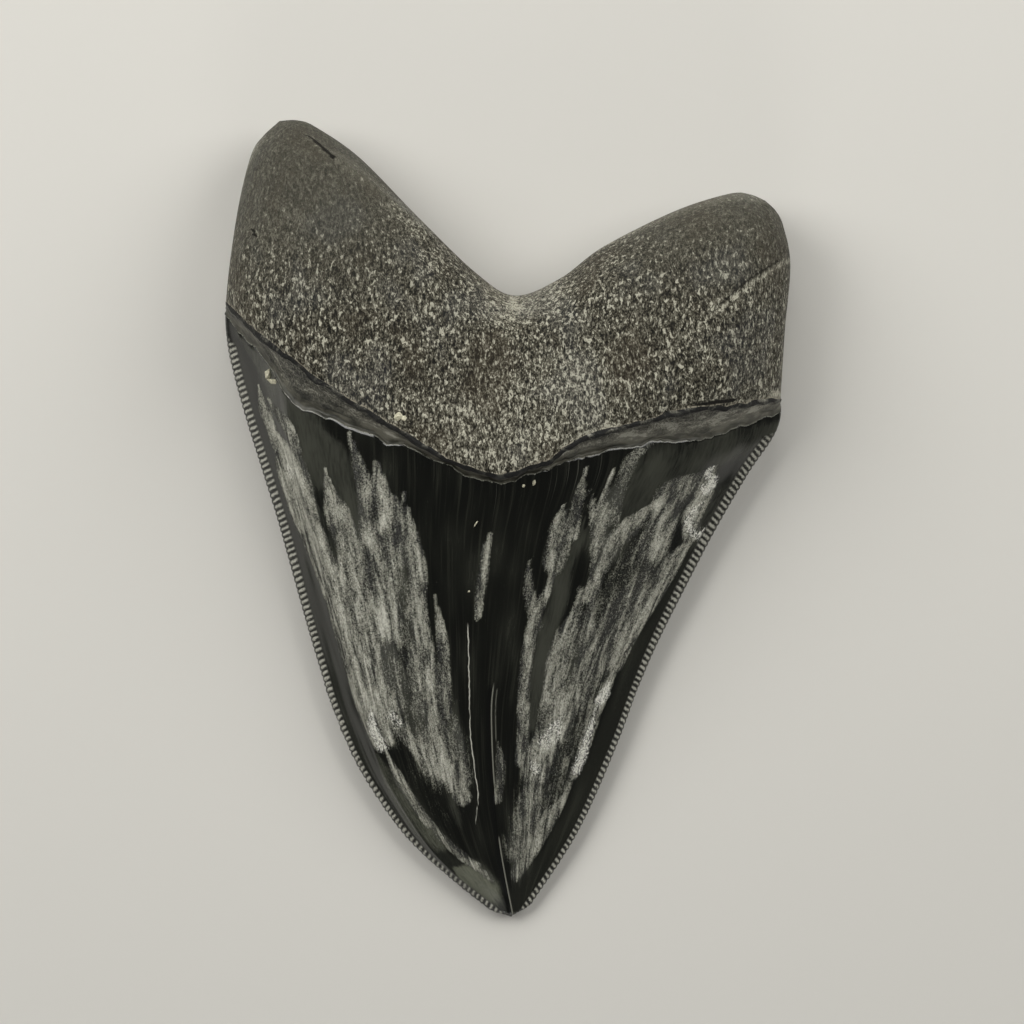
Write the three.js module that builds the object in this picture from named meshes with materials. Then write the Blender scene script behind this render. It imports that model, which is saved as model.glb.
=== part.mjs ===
// A megalodon tooth: root and crown grew as one piece, so it is one solid.
// Millimetres. The tooth lies on its flat outer face, as a loose tooth lies on a table:
// +Z is up out of the domed inner face, +Y runs from the tip to the two root lobes,
// and the origin is on the table, under the middle of the tooth.
//
// Both faces are one surface that is wrapped round the tooth like a sleeve. Its rows run from side
// to side: first along the root's notched top, then along the root's foot and the enamel's lip,
// and at last along the blunt tip. Its columns run from the top of the root down to the tip.

import * as THREE from "three";
import { ParametricGeometry } from "three/addons/geometries/ParametricGeometry.js";
import { mergeVertices } from "three/addons/utils/BufferGeometryUtils.js";

const { clamp, lerp, smoothstep } = THREE.MathUtils;

// ---- Outline, seen from above ----

// Each side runs from the crest of its lobe to a corner of the tip.
const LEFT_SIDE = curve([
  [-38.4, 67.1], [-43.3, 61.2], [-45.6, 52.0], [-47.5, 38.5], [-47.4, 30.4], [-44.4, 17.7],
  [-38.2, -2.5], [-32.3, -22.8], [-28.9, -33.0], [-24.3, -43.1], [-15.9, -55.0], [-3.2, -65.9],
]);
const RIGHT_SIDE = curve([
  [43.3, 53.7], [46.4, 49.3], [47.6, 43.0], [46.8, 32.0], [46.2, 22.0], [45.6, 15.6],
  [40.4, 7.6], [33.1, -5.1], [24.3, -22.8], [18.4, -38.0], [11.7, -53.2], [3.9, -65.2],
]);
const ROOT_TOP = fromSideToSide(0, 0, [
  [-32.2, 66.0], [-24.8, 60.8], [-14.9, 50.7], [-5.2, 41.4], [1.2, 37.7],
  [8.8, 40.6], [16.0, 45.9], [28.0, 51.9], [37.0, 54.8],
]);
const TIP = fromSideToSide(LEFT_SIDE.getLength(), RIGHT_SIDE.getLength(), [[0.6, -67.1]]);

// ---- Where root and enamel meet ----

const ROOT_LENGTH = { left: 32.5, right: 34.5 }; // along each side, from the lobe's crest
const BAND_WIDTH = 2.2; // of the bare band between root and enamel, at both shoulders
const LIP_LENGTH = { left: ROOT_LENGTH.left + BAND_WIDTH, right: ROOT_LENGTH.right + BAND_WIDTH };

// The inner face has two chevrons: the root's overhanging foot, and the lip where enamel starts.
const INNER_FOOT = fromSideToSide(ROOT_LENGTH.left, ROOT_LENGTH.right, [
  [-41.5, 30.9], [-35.2, 26.2], [-28.4, 21.4], [-17.9, 14.9], [-8.1, 9.3], [-1.9, 7.5],
  [5.4, 9.2], [12.0, 13.2], [19.8, 15.4], [30.5, 18.2], [40.1, 19.4],
]);
const INNER_LIP = fromSideToSide(LIP_LENGTH.left, LIP_LENGTH.right, [
  [-44.4, 31.2], [-41.4, 28.0], [-38.6, 23.8], [-36.4, 20.4], [-30.1, 16.9], [-22.5, 14.0],
  [-14.9, 11.0], [-6.4, 7.3], [-1.9, 6.2], [3.7, 7.4], [15.1, 11.0], [24.0, 12.6],
  [30.8, 13.2], [38.0, 15.4], [42.6, 17.0],
]);

// On the outer face the enamel reaches higher, on a flatter chevron, and the band is narrow.
const OUTER_FOOT = fromSideToSide(ROOT_LENGTH.left, ROOT_LENGTH.right, [
  [-30.0, 26.0], [-1.5, 18.5], [28.0, 19.5],
]);
const OUTER_LIP = fromSideToSide(LIP_LENGTH.left, LIP_LENGTH.right, [
  [-30.0, 24.0], [-1.5, 16.5], [28.0, 17.5],
]);

// ---- Heights above the table ----

const NOTCH_CREST = 21; // inner face behind the notch
const FOOT_CREST = 26.5; // the thickest part, where the root overhangs the band
const LIP_CREST = 24.4; // enamel at its lip
const BAND_DEPTH = 0.9; // how far the bare band lies below root and enamel
const LOBE_RIM = 8; // outline round the lobes
const SHOULDER_RIM = 5; // outline at the two shoulders
const TIP_RIM = 1.7; // outline at the tip
const HOLLOW = 0.8; // a shallow trough across the outer face, under the root

// The root is a slab with rounded sides and top. Its inner face sinks a little towards the lobes.
const SIDE_ROUND = 13; // rounding of the root's two sides, on the inner face
const TOP_ROUND = 10; // rounding of its notched top, on the inner face
const OUTER_ROUND = 6; // rounding of sides and top, on the outer face
const LOBE_DROP = 0.22; // share of the height lost at the sides

// A section through the crown, for x from -1 at one cutting edge to 1 at the other, is
// (1 - x^2)^BLADE of its crest. Under it a share of the width lies flat on the table.
const BLADE = 1.12;
const FLAT_SHARE = 0.3;
const UNDERSIDE_RISE = 2.2; // how the underside curves up to the cutting edges
const CREST_TAPER = 1.1; // how the crown's crest falls to the tip
const RIM_TAPER = 0.8; // how its cutting edges fall to the tip
const TIP_LIFT_START = 0.7; // where the underside starts to rise to the tip

// ---- Zones of the sleeve, from the lobes to the tip ----

const [ROOT, BAND, CROWN] = [0, 1, 2];
const ZONES = [
  { rows: 17, inner: [ROOT_TOP, INNER_FOOT], outer: [ROOT_TOP, OUTER_FOOT] },
  { rows: 4, inner: [INNER_FOOT, INNER_LIP], outer: [OUTER_FOOT, OUTER_LIP] },
  { rows: 27, inner: [INNER_LIP, TIP], outer: [OUTER_LIP, TIP] },
];

// "Down" counts zones from the lobes: 0 at the lobes, 1 at the root's foot, 2 at the lip, 3 at
// the tip. Between these places a section of the root turns into one of the crown.
const ROOT_UNTIL = 0.5;
const CROWN_FROM = 2.15;
const TROUGH = { start: 0.7, full: 1.2, fading: 2, end: 2.4 }; // where the hollow runs
const ROWS = ZONES.reduce((sum, zone) => sum + zone.rows, 0);
const COLUMNS = 30; // on each face
const CROWDING = 0.75; // how far columns and rows crowd towards rounded edges, 0 to 1
const LEFT_MARKS = [0, ROOT_LENGTH.left, LIP_LENGTH.left, LEFT_SIDE.getLength()];
const RIGHT_MARKS = [0, ROOT_LENGTH.right, LIP_LENGTH.right, RIGHT_SIDE.getLength()];

function curve(points) {
  return new THREE.SplineCurve(points.map(([x, y]) => new THREE.Vector2(x, y)));
}

function onSide(side, length) {
  return side.getPointAt(clamp(length / side.getLength(), 0, 1));
}

// A curve that starts and ends on the outline, at the given lengths down the two sides.
function fromSideToSide(leftLength, rightLength, points) {
  const start = onSide(LEFT_SIDE, leftLength).toArray();
  const end = onSide(RIGHT_SIDE, rightLength).toArray();
  return curve([start, ...points, end]);
}

// The place, seen from above, a share s across and a share t down a zone. The four curves round
// the zone are blended as in a Coons patch, so each keeps its exact shape.
function placeInZone(index, face, s, t) {
  const [top, foot] = ZONES[index][face];
  const left = onSide(LEFT_SIDE, lerp(LEFT_MARKS[index], LEFT_MARKS[index + 1], t));
  const right = onSide(RIGHT_SIDE, lerp(RIGHT_MARKS[index], RIGHT_MARKS[index + 1], t));
  const corners = top.getPointAt(0).lerp(top.getPointAt(1), s)
    .lerp(foot.getPointAt(0).lerp(foot.getPointAt(1), s), t);
  return top.getPointAt(s).lerp(foot.getPointAt(s), t).add(left.lerp(right, s)).sub(corners);
}

// 0 at an edge and 1 from a radius inwards, along a quarter of a circle.
function rounding(distance, radius) {
  const inward = clamp(distance / radius, 0, 1);
  return Math.sqrt(1 - (1 - inward) ** 2);
}

// Crest of the inner face and height of the outline, a share t down a zone.
function crestAndRim(index, t) {
  if (index === ROOT) {
    const settle = smoothstep(t, 0, 1);
    return [lerp(NOTCH_CREST, FOOT_CREST, settle), lerp(LOBE_RIM, SHOULDER_RIM, settle)];
  }
  if (index === BAND) {
    const recess = BAND_DEPTH * Math.min(1, ZONES[BAND].rows * Math.min(t, 1 - t));
    return [lerp(FOOT_CREST, LIP_CREST, t) - recess, SHOULDER_RIM];
  }
  const rim = lerp(TIP_RIM, SHOULDER_RIM, (1 - t) ** RIM_TAPER);
  return [lerp(rim, LIP_CREST, (1 - t) ** CREST_TAPER), rim];
}

// How much of its full height each face has at a place: 0 on the outline and 1 well inside it.
const FULLNESS = {
  inner: {
    root: ({ x, side, top }) =>
      rounding(side, SIDE_ROUND) * rounding(top, TOP_ROUND) * (1 - LOBE_DROP * x * x),
    crown: ({ x }) => (1 - x * x) ** BLADE,
  },
  outer: {
    root: ({ side, top }) => rounding(side, OUTER_ROUND) * rounding(top, OUTER_ROUND),
    crown: ({ x, down }) => {
      const beyondFlat = Math.max(0, Math.abs(x) - FLAT_SHARE) / (1 - FLAT_SHARE);
      const tipLift = Math.max(0, down - CROWN - TIP_LIFT_START) / (1 - TIP_LIFT_START);
      return (1 - beyondFlat ** UNDERSIDE_RISE) * (1 - tipLift ** 2);
    },
  },
};

// A place on the inner or outer face: s runs from the left side to the right one.
function onFace(face, s, t, index, target) {
  const place = placeInZone(index, face, s, t);
  const spot = {
    x: 2 * s - 1,
    down: index + t,
    side: place.distanceTo(placeInZone(index, face, Math.round(s), t)),
    top: index === ROOT ? place.distanceTo(ROOT_TOP.getPointAt(s)) : Infinity,
  };
  const crownShare = smoothstep(spot.down, ROOT_UNTIL, CROWN_FROM);
  const full = lerp(FULLNESS[face].root(spot), FULLNESS[face].crown(spot), crownShare);
  const trough = smoothstep(spot.down, TROUGH.start, TROUGH.full)
    * (1 - smoothstep(spot.down, TROUGH.fading, TROUGH.end));
  const [crest, rim] = crestAndRim(index, t);
  const height = lerp(rim, face === "inner" ? crest : HOLLOW * trough, full);
  target.set(place.x, place.y, height);
}

// Crowds even steps from 0 to 1 towards both ends.
function crowd(share) {
  return lerp(share, (1 - Math.cos(Math.PI * share)) / 2, CROWDING);
}

// The sleeve: u runs once round the tooth, over the inner face and back under the outer one,
// and v runs down all rows.
function sleeve(u, v, target) {
  const face = u <= 0.5 ? "inner" : "outer";
  const s = face === "inner" ? crowd(1 - 2 * u) : crowd(2 * u - 1);
  let row = v * ROWS;
  let index = 0;
  while (index < ZONES.length - 1 && row > ZONES[index].rows) {
    row -= ZONES[index].rows;
    index += 1;
  }
  const share = clamp(row / ZONES[index].rows, 0, 1);
  const t = index === ROOT ? crowd(share) : share;
  onFace(face, s, t, index, target);
}

function makeTooth() {
  const wrapped = new ParametricGeometry(sleeve, 2 * COLUMNS, ROWS);
  wrapped.deleteAttribute("normal");
  wrapped.deleteAttribute("uv");
  const geometry = mergeVertices(wrapped, 1e-3);
  geometry.computeVertexNormals();
  const fossil = new THREE.MeshStandardMaterial({ color: "#3d3c37", roughness: 0.5, metalness: 0 });
  const tooth = new THREE.Mesh(geometry, fossil);
  tooth.name = "tooth";
  return tooth;
}

const megalodonTooth = new THREE.Group();
megalodonTooth.name = "megalodon_tooth";
megalodonTooth.add(makeTooth());

export default megalodonTooth;
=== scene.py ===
# %% [markdown]
# # A megalodon tooth
#
# This lesson makes one fossil: a large tooth of the extinct giant shark, lying on its flat outer
# face and seen from above. Its inner face is on show. The root has two lobes with a notch between
# them and is dull and grainy. The crown below it is black, polished enamel with silky grey streaks
# and fine serrations down both cutting edges. Between root and crown runs a bare, chevron-shaped
# band. Everything is one body, as the real tooth is, apart from a few crumbs of the rock it lay in.

import math

import bmesh
import bpy
import numpy as np
from mathutils import Matrix, Vector, noise
from mathutils.bvhtree import BVHTree


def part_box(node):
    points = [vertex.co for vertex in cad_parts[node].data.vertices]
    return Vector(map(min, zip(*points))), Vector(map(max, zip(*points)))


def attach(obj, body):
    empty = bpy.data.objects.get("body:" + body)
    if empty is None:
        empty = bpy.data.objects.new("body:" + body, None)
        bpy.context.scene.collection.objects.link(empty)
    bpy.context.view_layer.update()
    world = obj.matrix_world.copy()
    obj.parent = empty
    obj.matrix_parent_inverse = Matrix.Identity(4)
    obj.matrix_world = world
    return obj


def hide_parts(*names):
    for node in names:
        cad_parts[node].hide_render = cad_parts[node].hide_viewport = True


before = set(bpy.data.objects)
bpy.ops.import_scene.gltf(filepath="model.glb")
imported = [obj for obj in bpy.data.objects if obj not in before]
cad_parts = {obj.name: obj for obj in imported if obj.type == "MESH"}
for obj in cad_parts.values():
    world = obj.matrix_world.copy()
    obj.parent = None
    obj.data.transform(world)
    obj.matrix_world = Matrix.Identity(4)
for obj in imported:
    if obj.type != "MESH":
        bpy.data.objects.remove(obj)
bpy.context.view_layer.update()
TOOTH_LOW, TOOTH_HIGH = (np.array(corner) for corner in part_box("tooth"))
TOOTH_SIZE = TOOTH_HIGH - TOOTH_LOW
print("the solid tooth measures", [round(1000 * side, 1) for side in TOOTH_SIZE], "mm")

# %% [markdown]
# ## Camera and light first
#
# The tooth is looked at from straight above, with the root at the top. A long lens from a good half
# metre away keeps the outline true, as in a catalogue of fossils. Polished black enamel shows
# whatever stands where a mirror would look, so the big soft lights stand low, all round, and the
# space beside the camera stays dim. That keeps the middle of the crown black and lets its curved
# margins shine.

# %% Set up the camera
def new_object(name, data):
    """An object with the given mesh, light or camera, linked to the scene."""
    thing = bpy.data.objects.new(name, data)
    bpy.context.scene.collection.objects.link(thing)
    return thing


VIEW_WIDTH = 0.1729  # of the square picture, measured across the tooth
LENS_MM = 120
SENSOR_MM = 36
RIM_HEIGHT = 0.006  # the outline of the tooth lies this high above the table
VIEW_OFFSET = Vector((0.0007, 0.0013, 0))  # the tooth lies a little low and left in the picture

camera_data = bpy.data.cameras.new("camera")
camera_data.lens = LENS_MM
camera_data.sensor_width = SENSOR_MM
camera = new_object("camera", camera_data)
camera.location = VIEW_OFFSET + Vector((0, 0, RIM_HEIGHT + VIEW_WIDTH * LENS_MM / SENSOR_MM))
bpy.context.scene.camera = camera
bpy.context.scene.view_settings.view_transform = "Standard"
print("the camera hangs", round(camera.location.z, 3), "m above the table")

# %% Set up the floor and the lights
def linear(hex_colour):
    """An sRGB colour such as #8a8878 as linear red, green, blue and alpha."""
    parts = [int(hex_colour[place:place + 2], 16) / 255 for place in (1, 3, 5)]
    return (*(part / 12.92 if part <= 0.04045 else ((part + 0.055) / 1.055) ** 2.4 for part in parts), 1)


def add_node(tree, kind, inputs=None, **settings):
    """Adds one node. Settings are its own options; inputs are plain values or sockets to link."""
    node = tree.nodes.new(kind)
    for name, value in settings.items():
        setattr(node, name, value)
    for name, value in (inputs or {}).items():
        if isinstance(value, bpy.types.NodeSocket):
            tree.links.new(value, node.inputs[name])
        else:
            node.inputs[name].default_value = value
    return node


def new_material(name):
    """An empty material with its output node, and its node tree."""
    material = bpy.data.materials.new(name)
    material.use_nodes = True
    material.node_tree.nodes.clear()
    return material, material.node_tree


def finish_material(tree, shader):
    add_node(tree, "ShaderNodeOutputMaterial", {"Surface": shader.outputs["BSDF"]})


paper, paper_tree = new_material("pale_backdrop_paper")
finish_material(paper_tree, add_node(
    paper_tree, "ShaderNodeBsdfPrincipled", {"Base Color": linear("#d9d7d2"), "Roughness": 0.9}))

FLOOR_SIZE = 3.0
floor_mesh = bpy.data.meshes.new("floor")
floor_bm = bmesh.new()
bmesh.ops.create_grid(floor_bm, x_segments=1, y_segments=1, size=FLOOR_SIZE / 2)
bmesh.ops.translate(floor_bm, verts=floor_bm.verts, vec=(0, 0, TOOTH_LOW[2] - 0.0001))
floor_bm.to_mesh(floor_mesh)
floor_bm.free()
floor_mesh.materials.append(paper)
floor = new_object("floor", floor_mesh)

# Each light: bearing from +X, angle above the table, distance, side length and power in watts.
SOFT_BOXES = [
    (150, 40, 0.75, 0.50, 3.6),
    (30, 38, 0.75, 0.50, 2.8),
    (95, 35, 0.80, 0.45, 2.0),
    (-90, 16, 0.80, 0.30, 1.2),
]
LIGHT_TINT = "#fffefa"  # of slightly warm lamps
for number, (bearing, rise, distance, side, power) in enumerate(SOFT_BOXES):
    light_data = bpy.data.lights.new(f"soft_box_{number}", "AREA")
    light_data.shape = "SQUARE"
    light_data.size = side
    light_data.energy = power
    light_data.color = linear(LIGHT_TINT)[:3]
    turn, lift = math.radians(bearing), math.radians(rise)
    place = Vector((math.cos(turn) * math.cos(lift), math.sin(turn) * math.cos(lift), math.sin(lift)))
    light = new_object(light_data.name, light_data)
    light.location = place * distance
    light.rotation_euler = place.to_track_quat("Z", "Y").to_euler()

world = bpy.data.worlds.new("dim_room")
bpy.context.scene.world = world
world.use_nodes = True
world.node_tree.nodes["Background"].inputs["Color"].default_value = linear("#babbb8")
world.node_tree.nodes["Background"].inputs["Strength"].default_value = 0.12
print(len(SOFT_BOXES), "soft boxes stand round the tooth")

# %% [markdown]
# ## The outline
#
# A tooth could be carved from a block, as in sculpting, but its outline is what makes it a tooth of
# this shark and no other. So the outline is drawn first: a few points in millimetres for each side,
# for the notched top of the root, and for the two chevrons where the root ends and the enamel
# starts. A smooth curve through the points does the rest.

# %% Draw the outline and the chevrons
MM = 0.001


def smooth_line(points, steps=40):
    """A smooth line through the points, as a fine polyline in millimetres."""
    padded = np.array([points[0], *points, points[-1]], float)
    t = np.linspace(0, 1, steps, endpoint=False)[:, None]
    pieces = []
    for before, start, end, after in zip(padded, padded[1:], padded[2:], padded[3:]):
        leave, arrive = (end - before) / 2, (after - start) / 2
        pieces.append(
            (2 * start - 2 * end + leave + arrive) * t**3
            + (3 * end - 3 * start - 2 * leave - arrive) * t**2 + leave * t + start)
    return np.vstack([*pieces, padded[-1:]])


def length_of(line):
    return np.linalg.norm(np.diff(line, axis=0), axis=1).sum()


def point_at(line, share):
    """The points that lie the given shares of the length along a line."""
    reached = np.concatenate([[0], np.cumsum(np.linalg.norm(np.diff(line, axis=0), axis=1))])
    return np.column_stack([np.interp(share * reached[-1], reached, line[:, axis]) for axis in (0, 1)])


LEFT_SIDE = smooth_line([
    (-38.4, 67.1), (-41.2, 64.5), (-43.3, 61.2), (-45.6, 52.0), (-47.5, 38.5), (-47.4, 30.4), (-44.4, 17.7),
    (-38.2, -2.5), (-32.3, -22.8), (-28.9, -33.0), (-24.3, -43.1), (-15.9, -55.0), (-3.2, -65.9)])
RIGHT_SIDE = smooth_line([
    (43.3, 53.7), (45.2, 51.8), (46.4, 49.3), (47.6, 43.0), (46.8, 32.0), (46.2, 22.0), (45.6, 15.6),
    (40.4, 7.6), (33.1, -5.1), (24.3, -22.8), (18.4, -38.0), (11.7, -53.2), (3.9, -65.2)])
LEFT_LENGTH, RIGHT_LENGTH = length_of(LEFT_SIDE), length_of(RIGHT_SIDE)

ROOT_LENGTH = {"left": 32.5, "right": 34.5}  # along each side, from the lobe's crest
BAND_WIDTH = 2.2  # of the bare band at both shoulders
LEFT_MARKS = [0, ROOT_LENGTH["left"], ROOT_LENGTH["left"] + BAND_WIDTH, LEFT_LENGTH]
RIGHT_MARKS = [0, ROOT_LENGTH["right"], ROOT_LENGTH["right"] + BAND_WIDTH, RIGHT_LENGTH]


def across(mark, points):
    """A line from the left side to the right, between two marks on the outline."""
    start = point_at(LEFT_SIDE, np.array([LEFT_MARKS[mark] / LEFT_LENGTH]))[0]
    end = point_at(RIGHT_SIDE, np.array([RIGHT_MARKS[mark] / RIGHT_LENGTH]))[0]
    return smooth_line([start, *points, end])


ROOT_TOP = across(0, [
    (-35.3, 67.2), (-32.2, 66.0), (-24.8, 60.8), (-14.9, 50.7), (-5.2, 41.4), (1.2, 37.7),
    (8.8, 40.6), (16.0, 45.9), (28.0, 51.9), (37.0, 54.8), (40.4, 54.8)])
INNER_FOOT = across(1, [
    (-41.5, 30.9), (-35.2, 26.2), (-28.4, 21.4), (-17.9, 14.9), (-8.1, 9.3), (-1.9, 7.5),
    (5.4, 9.2), (12.0, 13.2), (19.8, 15.4), (30.5, 18.2), (40.1, 19.4)])
INNER_LIP = across(2, [
    (-44.4, 31.2), (-41.4, 28.0), (-38.6, 23.8), (-36.4, 20.4), (-30.1, 16.9), (-22.5, 14.0),
    (-14.9, 11.0), (-6.4, 7.3), (-1.9, 6.2), (3.7, 7.4), (15.1, 11.0), (24.0, 12.6), (30.8, 13.2),
    (38.0, 15.4), (42.6, 17.0)])
OUTER_FOOT = across(1, [(-30.0, 26.0), (-1.5, 18.5), (28.0, 19.5)])
OUTER_LIP = across(2, [(-30.0, 24.0), (-1.5, 16.5), (28.0, 17.5)])
TIP = across(3, [(0.6, -67.1)])
SAW_LENGTHS = [LEFT_LENGTH - LEFT_MARKS[2], RIGHT_LENGTH - RIGHT_MARKS[2]]
print("the cutting edges are", [round(length) for length in SAW_LENGTHS], "mm long")

# %% [markdown]
# ## A sleeve of faces
#
# The mesh starts as one flat grid that will be wrapped round the tooth like a sleeve, inner face and
# outer face in one. A grid keeps rows and columns in order: rows can follow the chevrons exactly, so
# the step at the enamel's lip stays crisp, and columns run down the tooth as its fibres do. The
# serrations are about a millimetre apart, so the strips beside the cutting edges are subdivided,
# and only those, which saves faces where nothing small happens.

# %% Make the grid and subdivide its cutting edges
ZONES = [  # root, band and crown, with the lines that each lies between
    {"rows": 84, "inner": (ROOT_TOP, INNER_FOOT), "outer": (ROOT_TOP, OUTER_FOOT)},
    {"rows": 20, "inner": (INNER_FOOT, INNER_LIP), "outer": (OUTER_FOOT, OUTER_LIP)},
    {"rows": 186, "inner": (INNER_LIP, TIP), "outer": (OUTER_LIP, TIP)},
]
ZONE_STARTS = np.cumsum([0] + [zone["rows"] for zone in ZONES])
ROWS = int(ZONE_STARTS[-1])
INNER_COLUMNS = 180
OUTER_COLUMNS = INNER_COLUMNS // 2
COLUMNS = INNER_COLUMNS + OUTER_COLUMNS
INNER_EDGE_COLUMNS = 12  # columns beside each cutting edge that are subdivided
OUTER_EDGE_COLUMNS = 4
EDGE_CUTS = 3
NEAR = 0.1  # of a column or row, for telling grid lines apart

sleeve = bmesh.new()
bmesh.ops.create_grid(sleeve, x_segments=COLUMNS, y_segments=ROWS, size=0.5)
bmesh.ops.scale(sleeve, verts=sleeve.verts, vec=(COLUMNS, -ROWS, 1))
bmesh.ops.translate(sleeve, verts=sleeve.verts, vec=(COLUMNS / 2, ROWS / 2, 0))
bmesh.ops.reverse_faces(sleeve, faces=sleeve.faces)


def beside_cutting_edge(edge):
    """Whether an edge runs down the crown within a few columns of a cutting edge."""
    start, end = (vertex.co for vertex in edge.verts)
    if abs(start.x - end.x) > NEAR or min(start.y, end.y) < ZONE_STARTS[2] - NEAR:
        return False
    if start.x <= INNER_COLUMNS:
        return min(start.x, INNER_COLUMNS - start.x) < INNER_EDGE_COLUMNS + NEAR
    return min(start.x - INNER_COLUMNS, COLUMNS - start.x) < OUTER_EDGE_COLUMNS + NEAR


def on_outer_end(edge):
    """Whether an edge lies in the outer face's first or last row."""
    start, end = (vertex.co for vertex in edge.verts)
    in_end_row = abs(start.y - end.y) < NEAR and min(start.y, ROWS - start.y) < NEAR
    return in_end_row and max(start.x, end.x) > INNER_COLUMNS + NEAR


bmesh.ops.subdivide_edges(
    sleeve, edges=[edge for edge in sleeve.edges if beside_cutting_edge(edge)], cuts=EDGE_CUTS)
# The inner face has twice as many columns, so this gives both faces the same vertices where they meet.
bmesh.ops.subdivide_edges(sleeve, edges=[edge for edge in sleeve.edges if on_outer_end(edge)], cuts=1)
print("the flat sleeve has", len(sleeve.verts), "vertices and", len(sleeve.faces), "faces")

# %% [markdown]
# ## Where every vertex belongs
#
# Each vertex of the flat grid knows how far round and how far down the sleeve it lies. Between the
# four lines round its zone it finds its place by a Coons patch, a blend that keeps each line's exact
# shape. The same numbers, such as the distance from the cutting edge, later say where relief and
# colour go, so shape and finish can't drift apart.

# %% Find the place of every vertex, seen from above
def smoothstep(low, high, value):
    t = np.clip((value - low) / (high - low), 0, 1)
    return t * t * (3 - 2 * t)


def mix(start, end, share):
    return start + (end - start) * share


CROWDING = 0.6  # how far rows and columns crowd towards rounded edges, 0 to 1


def crowd(share):
    return mix(share, (1 - np.cos(np.pi * share)) / 2, CROWDING)


class Spots:
    """Where the vertices of the sleeve lie on the tooth, one number or row each."""

    def __init__(self, vertices):
        column, row = np.array([vertex.co.xy for vertex in vertices]).T
        self.inner = column <= INNER_COLUMNS
        inner_share = column / INNER_COLUMNS
        outer_share = (COLUMNS - column) / OUTER_COLUMNS
        self.s = np.where(self.inner, crowd(np.clip(inner_share, 0, 1)), crowd(np.clip(outer_share, 0, 1)))
        self.x = 2 * self.s - 1  # -1 on the left side, 1 on the right
        self.zone = np.clip(np.searchsorted(ZONE_STARTS, row - 1e-6) - 1, 0, len(ZONES) - 1)
        rows_in_zone = np.array([zone["rows"] for zone in ZONES])[self.zone]
        self.t = (row - ZONE_STARTS[self.zone]) / rows_in_zone
        self.t = np.where(self.zone == 0, crowd(np.clip(self.t, 0, 1)), self.t)
        self.down = self.zone + self.t  # 0 at the lobes, 1 at the foot, 2 at the lip, 3 at the tip
        self.place = np.zeros((len(row), 2))
        self.side_point = np.zeros((len(row), 2))  # the nearer end of the row, on the outline
        self.side_gap = np.zeros(len(row))  # from there
        self.width = np.zeros(len(row))  # of the tooth at that height
        self.top_gap = np.full(len(row), np.inf)
        for zone in range(len(ZONES)):
            for face in ("inner", "outer"):
                self.fill_patch(zone, face, (self.zone == zone) & (self.inner == (face == "inner")))
        left_reach = mix(np.array(LEFT_MARKS)[self.zone], np.array(LEFT_MARKS)[self.zone + 1], self.t)
        right_reach = mix(np.array(RIGHT_MARKS)[self.zone], np.array(RIGHT_MARKS)[self.zone + 1], self.t)
        self.on_left = self.x < 0
        self.edge_reach = np.where(self.on_left, left_reach - LEFT_MARKS[2], right_reach - RIGHT_MARKS[2])

    def fill_patch(self, zone, face, chosen):
        top, foot = ZONES[zone][face]
        s, t = self.s[chosen], self.t[chosen]
        left = point_at(LEFT_SIDE, mix(LEFT_MARKS[zone], LEFT_MARKS[zone + 1], t) / LEFT_LENGTH)
        right = point_at(RIGHT_SIDE, mix(RIGHT_MARKS[zone], RIGHT_MARKS[zone + 1], t) / RIGHT_LENGTH)
        s, t = s[:, None], t[:, None]
        on_top, on_foot = point_at(top, s[:, 0]), point_at(foot, s[:, 0])
        corners = mix(mix(top[0], top[-1], s), mix(foot[0], foot[-1], s), t)
        place = mix(on_top, on_foot, t) + mix(left, right, s) - corners
        self.place[chosen] = place
        self.side_point[chosen] = np.where(s < 0.5, left, right)
        self.side_gap[chosen] = np.linalg.norm(place - self.side_point[chosen], axis=1)
        self.width[chosen] = np.linalg.norm(right - left, axis=1)
        if zone == 0:
            self.top_gap[chosen] = np.linalg.norm(place - on_top, axis=1)


spots = Spots(sleeve.verts)
print("laid out from", spots.place.min(axis=0).round(1), "to", spots.place.max(axis=0).round(1), "mm")

# %% [markdown]
# ## The body of the tooth
#
# The root is a thick slab, rounded at its sides and top, thickest where it overhangs the band. The
# crown is a dome over a nearly flat underside, which thins out to a blade. Heights are worked out
# for every vertex in millimetres above the table, by the same few measures that shape the solid.

# %% Raise the two faces
# Heights above the table, in mm
NOTCH_CREST = 21.0  # the root's middle, near the notch
FOOT_CREST = 26.5  # the root's foot, where the tooth is thickest
LIP_CREST = 24.4  # where the enamel starts
LOBE_RIM = 8.0  # the outline: at the lobes, the shoulders and the tip
SHOULDER_RIM = 5.0
TIP_RIM = 1.7
BAND_DEPTH = 0.9  # how much lower the band lies than its surroundings
HOLLOW = 0.8  # how far the outer face arches off the table at the band
# How far in from the root's outline the faces are rounded, in mm
SIDE_ROUND = 13.0
TOP_ROUND = 10.0
OUTER_ROUND = 6.0
# Shares and powers
LOBE_DROP = 0.22  # how much lower the root's flanks lie than its middle
BLADE = 1.12  # above 1 the dome thins out towards the cutting edges
FLAT_SHARE = 0.3  # of the crown's half width that lies flat on the outer face
UNDERSIDE_RISE = 2.2  # how late the outer face rises to the cutting edges
CREST_TAPER = 1.1  # how evenly the dome and the outline sink towards the tip
RIM_TAPER = 0.8
TIP_LIFT_START = 0.7  # how far down the crown the tip starts to rise off the table


def rounding(gap, radius):
    """0 at an edge and 1 from a radius inwards, along a quarter of a circle."""
    return np.sqrt(1 - (1 - np.clip(gap / radius, 0, 1)) ** 2)


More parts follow.
